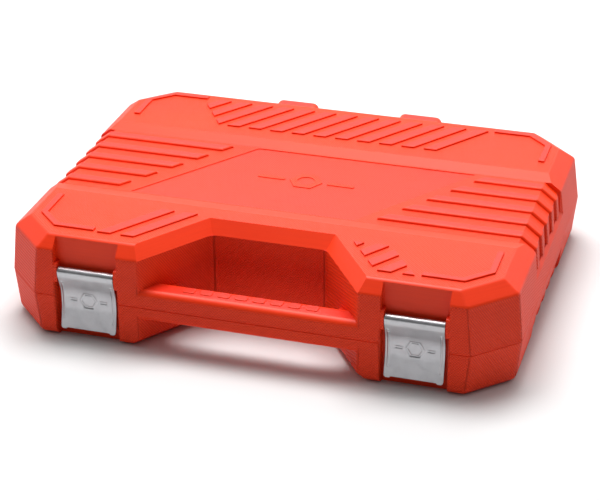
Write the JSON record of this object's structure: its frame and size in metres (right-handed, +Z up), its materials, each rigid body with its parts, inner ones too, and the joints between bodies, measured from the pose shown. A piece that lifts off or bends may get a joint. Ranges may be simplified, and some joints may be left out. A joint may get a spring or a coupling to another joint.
{
  "type": "socket wrench set in case",
  "caption": "Closed blow-moulded carrying case with moulded handle and two pressed steel latches, holding sockets, ratchets, extensions, bits and wrenches in moulded seats.",
  "frame": {"origin": "middle of the flat underside of the base, which the case rests on", "axes": "+X to the right, -Y towards the handle and latches, +Y towards the hinge, +Z up through the lid"},
  "size_m": [0.4398, 0.3512, 0.0933],
  "materials": {
    "case_plastic": "moulded polyethylene, fine dotted grain",
    "latch_steel": "satin stainless sheet",
    "pin_steel": "drawn wire",
    "tool_chrome": "satin chrome plate",
    "dark_steel": "hardened steel, oiled",
    "bit_steel": "bead blasted",
    "grip_black": "soft moulded grip",
    "holder_plastic": "moulded"
  },
  "bodies": {
    "base": {"base_shell": "case_plastic", "bit_holder": "holder_plastic", "drive_adapter": "tool_chrome", "driver_bits": "bit_steel", "half_inch_deep_sockets": "tool_chrome", "half_inch_joint_cross": "dark_steel", "half_inch_joint_drive_yoke": "tool_chrome", "half_inch_joint_socket_yoke": "tool_chrome", "half_inch_large_sockets": "tool_chrome", "half_inch_long_extension": "tool_chrome", "half_inch_ratchet_body": "tool_chrome", "half_inch_ratchet_cover": "tool_chrome", "half_inch_ratchet_cover_screws": "dark_steel", "half_inch_ratchet_grip": "grip_black", "half_inch_short_extension": "tool_chrome", "half_inch_small_sockets": "tool_chrome", "half_inch_star_sockets": "tool_chrome", "hinge_pins": "pin_steel", "quarter_inch_deep_sockets": "tool_chrome", "quarter_inch_joint_cross": "dark_steel", "quarter_inch_joint_drive_yoke": "tool_chrome", "quarter_inch_joint_socket_yoke": "tool_chrome", "quarter_inch_long_extension": "tool_chrome", "quarter_inch_ratchet_body": "tool_chrome", "quarter_inch_ratchet_cover": "tool_chrome", "quarter_inch_ratchet_cover_screws": "dark_steel", "quarter_inch_ratchet_grip": "grip_black", "quarter_inch_short_extension": "tool_chrome", "quarter_inch_sockets": "tool_chrome", "quarter_inch_star_sockets": "tool_chrome", "spark_plug_sockets": "tool_chrome", "spinner_grip": "grip_black", "spinner_shank": "tool_chrome"},
    "lid": {"lid_shell": "case_plastic", "combination_wrenches": "tool_chrome"},
    "latch_left": {"latch_left": "latch_steel"},
    "latch_right": {"latch_right": "latch_steel"},
    "half_inch_ratchet_drive": {"half_inch_ratchet_gear": "dark_steel"},
    "half_inch_ratchet_release": {"half_inch_ratchet_button": "tool_chrome"},
    "half_inch_ratchet_selector": {"half_inch_ratchet_lever": "tool_chrome", "half_inch_ratchet_pawl": "dark_steel"},
    "quarter_inch_ratchet_drive": {"quarter_inch_ratchet_gear": "dark_steel"},
    "quarter_inch_ratchet_release": {"quarter_inch_ratchet_button": "tool_chrome"},
    "quarter_inch_ratchet_selector": {"quarter_inch_ratchet_lever": "tool_chrome", "quarter_inch_ratchet_pawl": "dark_steel"}
  },
  "joints": [
    {"name": "lid_hinge", "type": "hinge", "parent": "base", "child": "lid", "pos_m": [0, 0.1759, 0.0387], "axis": [-1, 0, 0], "range_deg": [0, 100]},
    {"name": "latch_left_pivot", "type": "hinge", "parent": "lid", "child": "latch_left", "pos_m": [-0.1395, -0.1672, 0.0605], "axis": [-1, 0, 0], "range_deg": [0, 130]},
    {"name": "latch_right_pivot", "type": "hinge", "parent": "lid", "child": "latch_right", "pos_m": [0.1395, -0.1672, 0.0605], "axis": [-1, 0, 0], "range_deg": [0, 130]},
    {"name": "half_inch_drive_spin", "type": "hinge", "parent": "base", "child": "half_inch_ratchet_drive", "pos_m": [-0.178, -0.074, 0.036], "axis": [0, 0, 1], "continuous": true},
    {"name": "half_inch_release_press", "type": "slide", "parent": "half_inch_ratchet_drive", "child": "half_inch_ratchet_release", "axis": [0, 0, -1], "range_m": [0, 0.0016], "stiffness_N_per_m": 300, "springref_m": -0.001},
    {"name": "half_inch_selector_turn", "type": "hinge", "parent": "base", "child": "half_inch_ratchet_selector", "pos_m": [-0.158, -0.074, 0.036], "axis": [0, 0, 1], "range_deg": [0, 40]},
    {"name": "quarter_inch_drive_spin", "type": "hinge", "parent": "base", "child": "quarter_inch_ratchet_drive", "pos_m": [0.074, -0.082, 0.036], "axis": [0, 0, 1], "continuous": true},
    {"name": "quarter_inch_release_press", "type": "slide", "parent": "quarter_inch_ratchet_drive", "child": "quarter_inch_ratchet_release", "axis": [0, 0, -1], "range_m": [0, 0.00106], "stiffness_N_per_m": 198, "springref_m": -0.001},
    {"name": "quarter_inch_selector_turn", "type": "hinge", "parent": "base", "child": "quarter_inch_ratchet_selector", "pos_m": [0.0872, -0.082, 0.036], "axis": [0, 0, 1], "range_deg": [0, 40]}
  ]
}
